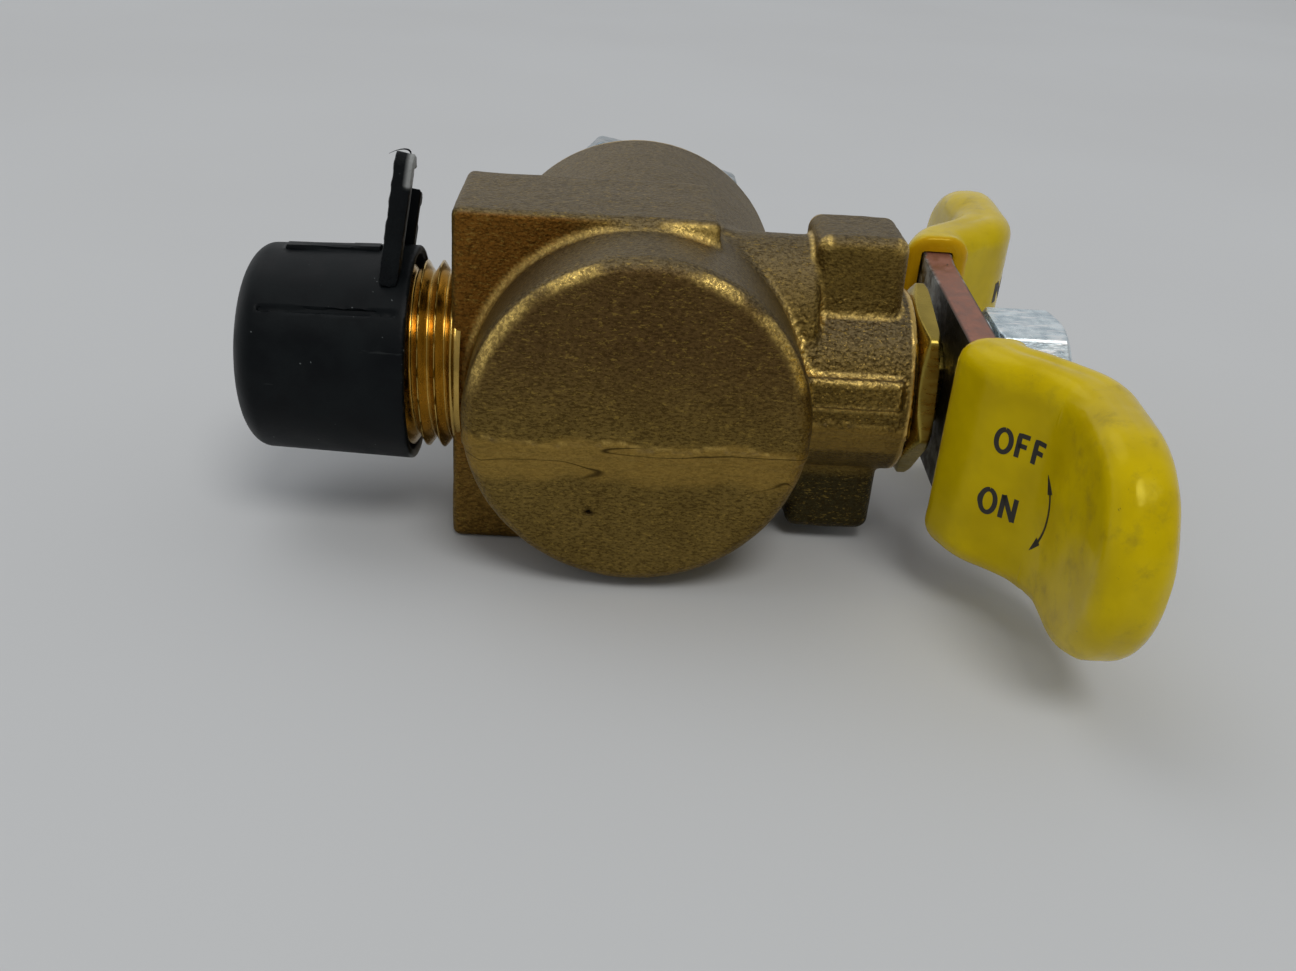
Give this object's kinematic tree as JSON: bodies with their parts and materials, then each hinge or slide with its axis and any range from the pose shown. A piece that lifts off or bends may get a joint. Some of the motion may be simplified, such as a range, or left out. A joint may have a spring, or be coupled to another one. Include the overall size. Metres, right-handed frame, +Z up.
{
  "type": "ball valve",
  "caption": "Angle ball valve with a cast brass body, capped male outlet, hexagon inlet connector at the back and a quarter-turn T-handle with sleeved wings.",
  "frame": {"origin": "on the base face of the body, straight under the centre of the ball", "axes": "+X along the stem from the ball to the handle, +Y from the ball to the inlet, +Z up from the base"},
  "size_m": [0.092, 0.0866, 0.0438],
  "materials": {
    "cast_brass": "sand-cast, dull bronze-brown with brighter worn edges",
    "machined_brass": "turned, bright gold",
    "zinc_plate": "bright zinc plating",
    "handle_steel": "zinc-plated strip with a pinkish primed sheared edge",
    "chromed_brass": "polished",
    "white_fluoropolymer": "waxy white",
    "black_rubber": "matt",
    "black_plastic": "soft black moulding with a faint blue cast",
    "yellow_vinyl": "dipped vinyl, smooth, scuffed"
  },
  "bodies": {
    "body": {"valve_body": "cast_brass", "inlet_connector": "zinc_plate", "connector_seal": "black_rubber", "seat_blind_side": "white_fluoropolymer", "seat_inlet_side": "white_fluoropolymer", "thrust_washer": "white_fluoropolymer", "packing_ring_inner": "white_fluoropolymer", "packing_ring_outer": "white_fluoropolymer", "gland_follower": "machined_brass", "packing_nut": "machined_brass"},
    "handle": {"handle_plate": "handle_steel", "grip_near": "yellow_vinyl", "grip_far": "yellow_vinyl", "lock_washer": "zinc_plate", "handle_nut": "zinc_plate", "stem": "machined_brass", "stem_o_ring": "black_rubber", "ball": "chromed_brass"},
    "cap": {"outlet_cap": "black_plastic", "cap_strap_stub": "black_plastic"}
  },
  "joints": [
    {"name": "handle_turn", "type": "hinge", "parent": "body", "child": "handle", "pos_m": [0, 0, 0.0193], "axis": [1, 0, 0], "range_deg": [-90, 0]},
    {"name": "cap_pull", "type": "slide", "parent": "body", "child": "cap", "axis": [-1, 0, 0], "range_m": [0, 0.018]}
  ]
}
